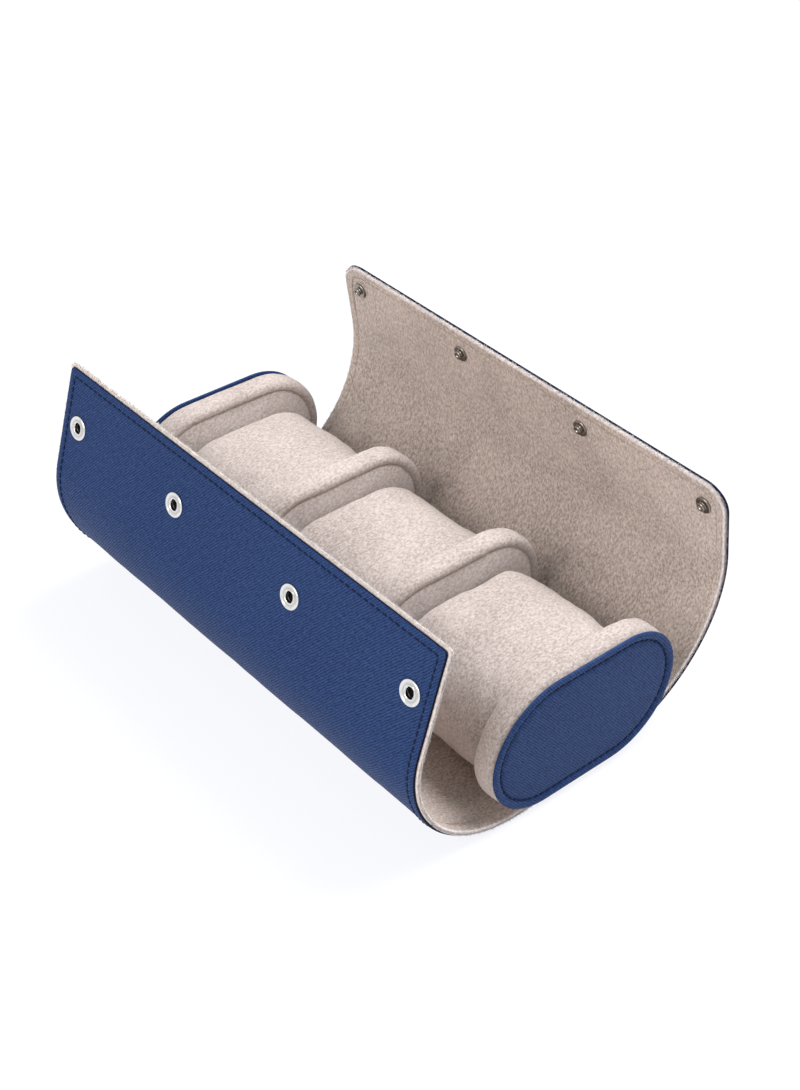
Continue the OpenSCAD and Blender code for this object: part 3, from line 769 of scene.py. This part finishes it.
def make_pad(name, seed, size, unevenness, edge_r, seam_in, smaller, sunk, crown, most, steps,
             body, middle, sewn_sides, stands_for, foam_node, fill):
    """A cover that is cut smaller than the pad and filled, the foam inside it and the
    topstitching beside its seams."""
    w, h, t = size
    straight, arc, across = steps
    rows = pad_rows(h - 2 * smaller, t, edge_r, seam_in, sunk, crown, smaller, across)
    verts, faces = oval_shell(w - 2 * smaller, h - 2 * smaller, rows, straight, arc)
    off_seam = np.repeat([inset - seam_in for inset, _ in rows], len(verts) // len(rows))
    cover = mesh_object(f"{name}_cover", verts, faces, [pad_suede])
    mark_points(cover, "seam", off_seam)
    fill_cover(cover, np.where(np.abs(off_seam) < 0.2 * mm)[0], most)

    # the foam reaches to just under the suede
    suede_t = 1.2 * mm
    core = points_of(cover) - normals_of(cover) * (suede_t + 0.2 * mm)
    core = keep_inside(core, w - 2 * suede_t, h - 2 * suede_t, t - 2 * suede_t, edge_r - suede_t)
    filling = mesh_object(f"{name}_filling", core, faces, [foam])
    finer(filling, 1)

    finer(cover, 2)
    points = points_of(cover)
    off_seam = np.zeros(len(points), np.float32)
    cover.data.attributes["seam"].data.foreach_get("value", off_seam)
    # the panels inside the seams are painted paler, as painted light on their swelling faces
    mark_points(cover, "pale_rim_and_painted_light", 0.45 * np.clip(off_seam / (0.5 * mm), 0, 1))
    # the cover is uneven all over and pinched in by the thread of its seams
    wave = ripple(points[:, 0] * 1.3 + points[:, 1], points[:, 2] + points[:, 0] * 0.7, seed, *unevenness)
    lift = wave - unevenness[0][0] * 0.5 - bell(off_seam, 0, 0.3 * mm, 0.12 * mm)
    move_points(cover, keep_inside(points + normals_of(cover) * lift[:, None], w, h, t, edge_r))

    for obj in (cover, filling):
        obj.data.transform(Matrix.Translation(middle))
    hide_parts(*stands_for)
    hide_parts(foam_node)
    suede_pieces = [cover]
    for side in sewn_sides:
        at, out = on_face(cover, w, h, seam_in + 0.9 * mm, side, middle)
        suede_pieces.append(sew(f"{name}_stitches_{'right' if side > 0 else 'left'}", at, out, pale_thread,
                                pitch=3.2 * mm, length=2.3 * mm, radius=0.24 * mm, lift=0.06 * mm))
    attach(filling, body)
    for obj in suede_pieces:
        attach(obj, body)


# dividers and caps are firm; the cushions are softer and rounder
firm = dict(body="base", edge_r=3 * mm, seam_in=5 * mm, smaller=0.4 * mm, sunk=0.35 * mm, crown=0.5 * mm,
            most=1.0 * mm, steps=(12, 30, 4), fill=0.85)
soft = dict(edge_r=7 * mm, seam_in=9 * mm, smaller=1.2 * mm, sunk=1.2 * mm, crown=0.0, most=3.0 * mm,
            steps=(8, 24, 12), fill=0.8)

for name, x, seed in (("left", -divider_x, 19), ("right", divider_x, 21)):
    make_pad(f"divider_{name}", seed, size=(section_w, section_h, divider_t), middle=(x, 0, pad_z),
             unevenness=((0.16 * mm, 26 * mm), (0.05 * mm, 8 * mm)), sewn_sides=(-1, 1),
             stands_for=(f"divider_{name}_band", f"divider_{name}_panels"),
             foam_node=f"divider_{name}_foam", **firm)

for side, name in ((-1, "left"), (1, "right")):
    make_pad(f"cap_{name}_pad", 30 + side, size=(section_w, section_h, cap_pad_t),
             middle=(side * cap_x, 0, pad_z), unevenness=((0.14 * mm, 26 * mm), (0.05 * mm, 8 * mm)),
             sewn_sides=(-side,), stands_for=(f"cap_{name}_band", f"cap_{name}_panel"),
             foam_node=f"cap_{name}_foam", **firm)

for k, name in ((-1, "left"), (0, "middle"), (1, "right")):
    make_pad(f"cushion_{name}_pad", 40 + k, size=(cushion_w, cushion_h, cushion_l),
             body=f"cushion_{name}", middle=(k * cushion_x, 0, cushion_z),
             unevenness=((0.5 * mm, 34 * mm), (0.12 * mm, 11 * mm)), sewn_sides=(-1, 1),
             stands_for=(f"cushion_{name}_cover", f"cushion_{name}_ends"),
             foam_node=f"cushion_{name}_filling", **soft)

# ---- Leather faces of the end caps ----
# An oval of the navy leather over a thin wad, stitched round close to its rolled
# edge through the end board, so that the rim stands up round a slightly crowned face.

cap_leather = grain_leather("cap_grain_leather", "Object")
face_w, face_h, face_x = section_w - 1.6 * mm, section_h - 1.6 * mm, cap_x + cap_pad_t / 2
# the leather's course in mm, as (in from the edge, out from the pad): the crowned face, the
# groove of the seam, the rolled edge and the back
face_rows = [(27.2, 1.30), (24, 1.29), (20, 1.27), (16, 1.24), (12, 1.19), (9, 1.13), (7, 1.06), (6, 0.98),
             (5.3, 0.84), (4.8, 0.66), (4.4, 0.46), (4.05, 0.34), (3.75, 0.34), (3.45, 0.5), (3.1, 0.84),
             (2.6, 1.2), (2.0, 1.43), (1.3, 1.48), (0.7, 1.38), (0.25, 1.12), (0.05, 0.82), (0, 0.5),
             (0.1, 0.12), (0.5, 0.02), (6, 0.02), (27.2, 0.02)]
for side, name in ((-1, "left"), (1, "right")):
    verts, faces = oval_shell(face_w, face_h, [(inset * mm, out * mm) for inset, out in face_rows], 24, 60)
    verts = (verts + (face_x, 0, 0)) * (side, 1, 1) + (0, 0, pad_z)
    face = mesh_object(f"cap_{name}_leather", verts, [f[::side] for f in faces], [cap_leather])
    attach(face, "base")
    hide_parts(f"cap_{name}_face")
    at, out = on_face(face, face_w, face_h, 3.9 * mm, side, (side * face_x, 0, pad_z))
    seam = sew(f"cap_{name}_stitches", at, out, navy_thread, radius=0.4 * mm, lift=0.2 * mm)
    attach(seam, "base")

# ---- Press studs ----
# Four snaps of nickelled brass: on the front flap a ring socket with a spring inside,
# riveted to a flange behind, and on the rear flap a ball stud with a domed cap outside.

def nickel(name, tone, rough):
    """Plated metal, rubbed brighter in places, and painted dark as shade and as dark reflections where its
    points are marked for it.
    """
    finish, tree, skin = new_finish(name)
    worn = noise(tree, add_node(tree, "ShaderNodeTexCoord").outputs["Object"], 700.0, 4.0)
    metal = blend_colours(tree, worn, shade(tone, 0.8), tone)
    # near black where painted shade and painted dark reflections are marked
    metal = blend_colours(tree, mark_on_points(tree, "painted_dark"), metal, shade(tone, 0.08))
    tree.links.new(metal, skin["Base Color"])
    tree.links.new(stretched(tree, worn, 0.0, 1.0, rough * 0.6, rough * 1.5), skin["Roughness"])
    skin["Metallic"].default_value = 1.0
    return finish


bright_nickel = nickel("bright_nickel", (0.84, 0.83, 0.81), 0.13)
dark_nickel = nickel("dark_nickel", (0.30, 0.27, 0.24), 0.24)
# near-black metal for the floors down the sockets' bores, as painted shade
painted_shade_black = nickel("painted_shade_black", (0.010, 0.009, 0.009), 0.5)


def turned_part(profile, turns=48):
    """Points and faces of a part turned on a lathe, from its (radius, height) profile in mm,
    which begins and ends on the axis."""
    a = np.linspace(0, math.tau, turns + 1)[:-1]
    verts, rings = [], []
    # turned from the back forwards, the faces look outwards
    for r, z in profile[::-1]:
        ring = a if r else a[:1]
        rings.append(np.arange(len(verts), len(verts) + len(ring)))
        verts += [(r * mm * math.cos(v), r * mm * math.sin(v), z * mm) for v in ring]
    faces = []
    for p, q in zip(rings[:-1], rings[1:]):
        for i in range(turns):
            j = (i + 1) % turns
            corners = (p[i % len(p)], p[j % len(p)], q[j % len(q)], q[i % len(q)])
            faces.append([int(v) for v in dict.fromkeys(corners)])
    return np.array(verts), faces


def bent_wire(points, radius):
    """Points and faces of a round wire along a line of points."""
    p, around = np.array(points, float), 8
    along = np.gradient(p, axis=0)
    along /= np.linalg.norm(along, axis=1, keepdims=True)
    side = np.cross(along, (0, 0, 1))
    lift = np.cross(side, along)
    a = np.linspace(0, math.tau, around + 1)[:-1][:, None]
    verts = p[:, None] + radius * (side[:, None] * np.cos(a) + lift[:, None] * np.sin(a))
    ends = [list(range(around))[::-1], [(len(p) - 1) * around + i for i in range(around)]]
    return verts.reshape(-1, 3), quads_between(len(p), around).tolist() + ends


def row_of(name, parts, flap, depth, facing, material, node):
    """Four copies of a part along a flap, standing on the sheet at that depth and facing
    outwards (1) or inwards (-1)."""
    run, s, side = (front_run, front_row, -1) if flap == "front" else (rear_run, rear_row, 1)
    y, z, slope = (float(v[0]) for v in follow(run, np.array([s])))
    out = Vector((0, side * math.sin(slope), -math.cos(slope)))
    foot = Vector((0, side * y, z)) - out * depth
    axis, across = out * facing, Vector((1, 0, 0))
    turn = Matrix((across, axis.cross(across), axis)).transposed()
    verts, faces = [], []
    for x in stud_x:
        for points, quads in parts:
            first = len(verts)
            verts += [tuple(turn @ Vector(p) + foot + Vector((x, 0, 0))) for p in points]
            faces += [[first + i for i in quad] for quad in quads]
    row = mesh_object(name, verts, faces, [material])
    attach(row, f"{flap}_flap_upper")
    if node:
        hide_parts(node)
    return row


# the ring: its floor, bore, raised lip, hollow and rolled rim, and the neck set in the leather
ring_depth = 0.2 * mm
ring = [(0, -0.92), (1.6, -0.92), (2.2, -0.86), (2.32, -0.7), (2.3, 0.1), (2.33, 0.36), (2.43, 0.55),
        (2.62, 0.66), (2.86, 0.66), (3.1, 0.55), (3.35, 0.42), (3.65, 0.36), (3.95, 0.42), (4.25, 0.58),
        (4.5, 0.72), (4.72, 0.78), (4.93, 0.74), (5.1, 0.62), (5.22, 0.42), (5.26, 0.2), (5.22, 0.04),
        (5.0, -0.02), (3.5, -0.02), (3.45, -1.15), (0, -1.15)]
one_ring = turned_part(ring)
rings = row_of("socket_rings", [one_ring], "front", ring_depth, 1, bright_nickel, "snap_sockets")

# painted shade down its bore, and painted shade and dark reflections in the hollow round the lip and at its
# outer foot
r = np.hypot(one_ring[0][:, 0], one_ring[0][:, 1])
painted_dark_share = bell(r, 3.4 * mm, 0.5 * mm, 0.36) + bell(r, 5.24 * mm, 0.07 * mm, 0.5)
mark_points(rings, "painted_dark", np.tile(np.where(r < 2.35 * mm, 0.95, painted_dark_share), len(stud_x)))

# two bowed wires spring apart for the ball
arcs = np.radians(np.linspace(-32, 32, 11))
springs = []
for side in (-1, 1):
    bow = [(side * (3.0 * math.cos(v) - 0.83) * mm, 3.0 * math.sin(v) * mm, 0.36 * mm) for v in arcs]
    springs.append(bent_wire(bow, 0.15 * mm))
row_of("socket_springs", springs, "front", ring_depth, 1, bright_nickel, None)

# a near-black disc under each bore, which paints the shade down the hole
well = [(0, -0.88), (1.8, -0.88), (2.27, -0.84), (2.27, -0.94), (0, -0.94)]
row_of("socket_shade_wells", [turned_part(well)], "front", ring_depth, 1, painted_shade_black, None)

flange = [(0, 0.25), (0.9, 0.25), (1.25, 0.34), (1.6, 0.62), (2.0, 0.7), (2.5, 0.66), (3.6, 0.6),
          (4.2, 0.5), (4.45, 0.3), (4.5, 0.08), (4.3, 0.0), (2.1, -0.02), (2.1, -1.75), (0, -1.75)]
row_of("socket_flanges", [turned_part(flange)], "front", sheet_t, -1, dark_nickel,
       "snap_socket_posts")

ball = [(0, 1.75), (0.5, 1.75), (0.75, 1.95), (0.95, 2.3), (1.2, 2.46), (1.55, 2.44), (1.85, 2.26),
        (2.0, 2.0), (1.98, 1.75), (1.8, 1.5), (1.62, 1.3), (1.62, 1.05), (1.85, 0.88), (2.5, 0.8),
        (3.0, 0.84), (3.4, 0.8), (3.7, 0.62), (3.8, 0.38), (3.72, 0.1), (3.5, 0.0), (0, 0.0)]
row_of("stud_balls", [turned_part(ball)], "rear", sheet_t, -1, dark_nickel, "snap_studs")

dome = [(0, 1.6), (1, 1.57), (2, 1.47), (3, 1.3), (4, 1.05), (5, 0.72), (5.7, 0.42), (6.1, 0.22),
        (6.25, 0.08), (6.2, 0.0), (5.9, -0.02), (2.1, -0.02), (2.1, -2.95), (0, -2.95)]
row_of("stud_domes", [turned_part(dome, turns=64)], "rear", 0.1 * mm, 1, bright_nickel,
       "snap_stud_caps")

# ---- Boards ----
# Grey bookbinder's board stiffens every panel and pad. It is pressed paper pulp, cut
# square, and the covers hide it.

board, tree, skin = new_finish("grey_board")
pulp = noise(tree, add_node(tree, "ShaderNodeTexCoord").outputs["Object"], 420.0, 5.0, Roughness=0.7)
tree.links.new(blend_colours(tree, pulp, (0.13, 0.12, 0.10), (0.28, 0.26, 0.23)), skin["Base Color"])
emboss(tree, skin, pulp, 0.5, 0.1 * mm)
skin["Roughness"].default_value = 0.92
for name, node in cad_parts.items():
    if "board" in name:
        node.data.materials.clear()
        node.data.materials.append(board)

# ---- Camera ----
# Set up before the front right-hand corner and turned a little on its own axis, it
# looks down on the open roll.

azimuth, elevation, roll = (math.radians(v) for v in (46.53, 37.678, 3.375))
camera_at, lens_mm, sensor_mm = (0.45268, -0.4224, 0.52743), 61.49, 36
level = math.cos(elevation)
back = Vector((math.sin(azimuth) * level, -math.cos(azimuth) * level, math.sin(elevation)))
right = Vector((math.cos(azimuth), math.sin(azimuth), 0))
up = back.cross(right)
rolled_right = math.cos(roll) * right + math.sin(roll) * up
rolled_up = -math.sin(roll) * right + math.cos(roll) * up
camera = bpy.data.objects.new("camera", bpy.data.cameras.new("camera"))
bpy.context.scene.collection.objects.link(camera)
camera.data.lens, camera.data.sensor_width = lens_mm, sensor_mm
camera.matrix_world = Matrix((
    (*rolled_right, 0),
    (*rolled_up, 0),
    (*back, 0),
    (*camera_at, 1))).transposed()
bpy.context.scene.camera = camera
bpy.context.scene.view_settings.view_transform = "Standard"

# ---- Studio ----
# A pale floor that fades into a white surround, lit from overhead and, more warmly,
# by a window in front.

def show_white(tree, lit, white, share, surface):
    """Gives a surface to the light as it is, and by that share as white to the eye, also when
    seen in a mirror or through glass."""
    ray = tree.nodes.new("ShaderNodeLightPath").outputs
    mirrored = plus(tree, ray["Is Glossy Ray"], ray["Is Transmission Ray"])
    shown = reckon(tree, "ADD", ray["Is Camera Ray"], mirrored, clamp=True)
    both = tree.nodes.new("ShaderNodeMixShader")
    tree.links.new(times(tree, shown, share), both.inputs[0])
    tree.links.new(lit, both.inputs[1])
    tree.links.new(white, both.inputs[2])
    tree.links.new(both.outputs[0], surface)


pale, tree, skin = new_finish("pale_floor")
speck = add_node(tree, "ShaderNodeTexNoise", Scale=3.0, Detail=2.0).outputs["Fac"]
tree.links.new(blend_colours(tree, speck, (0.80, 0.80, 0.82), (0.82, 0.82, 0.84)), skin["Base Color"])
skin["Roughness"].default_value = 0.9
glow = add_node(tree, "ShaderNodeEmission", Color=(0.955, 0.962, 1.0), Strength=1.08)
show_white(tree, tree.nodes["Principled BSDF"].outputs[0], glow.outputs[0], 0.82,
           tree.nodes["Material Output"].inputs["Surface"])
corners = [(-3, -3, 0), (3, -3, 0), (3, 3, 0), (-3, 3, 0)]
floor = mesh_object("floor", corners, [(0, 1, 2, 3)], [pale])
floor.location.z = -0.3 * mm

world = bpy.data.worlds.new("studio")
bpy.context.scene.world = world
world.use_nodes = True
tree = world.node_tree
sky = tree.nodes["Background"]
sky.inputs["Color"].default_value = (0.95, 0.97, 1.0, 1)
way = add_node(tree, "ShaderNodeTexCoord").outputs["Generated"]
split = add_node(tree, "ShaderNodeSeparateXYZ", Vector=way)
tree.links.new(stretched(tree, split.outputs["Z"], 0.15, 0.95, 0.06, 0.6), sky.inputs["Strength"])
white = add_node(tree, "ShaderNodeBackground", Color=(1, 1, 1), Strength=1.0)
show_white(tree, sky.outputs[0], white.outputs[0], 1.0, tree.nodes["World Output"].inputs["Surface"])


def softbox(name, at, size, power, colour):
    """A rectangular lamp that is aimed at the roll."""
    lamp = bpy.data.lights.new(name, "AREA")
    lamp.shape, lamp.size, lamp.size_y = "RECTANGLE", *size
    lamp.energy, lamp.color = power, colour
    obj = bpy.data.objects.new(name, lamp)
    bpy.context.scene.collection.objects.link(obj)
    obj.location = at
    aim = Vector((0, 0, 0.05)) - Vector(at)
    obj.rotation_euler = aim.to_track_quat("-Z", "Y").to_euler()


softbox("overhead", at=(0.12, 0.6, 1.1), size=(1.0, 0.8), power=24, colour=(1, 1, 1))
softbox("front_window", at=(0.12, -1.15, 0.9), size=(0.9, 0.7), power=14.5, colour=(1, 0.96, 0.91))
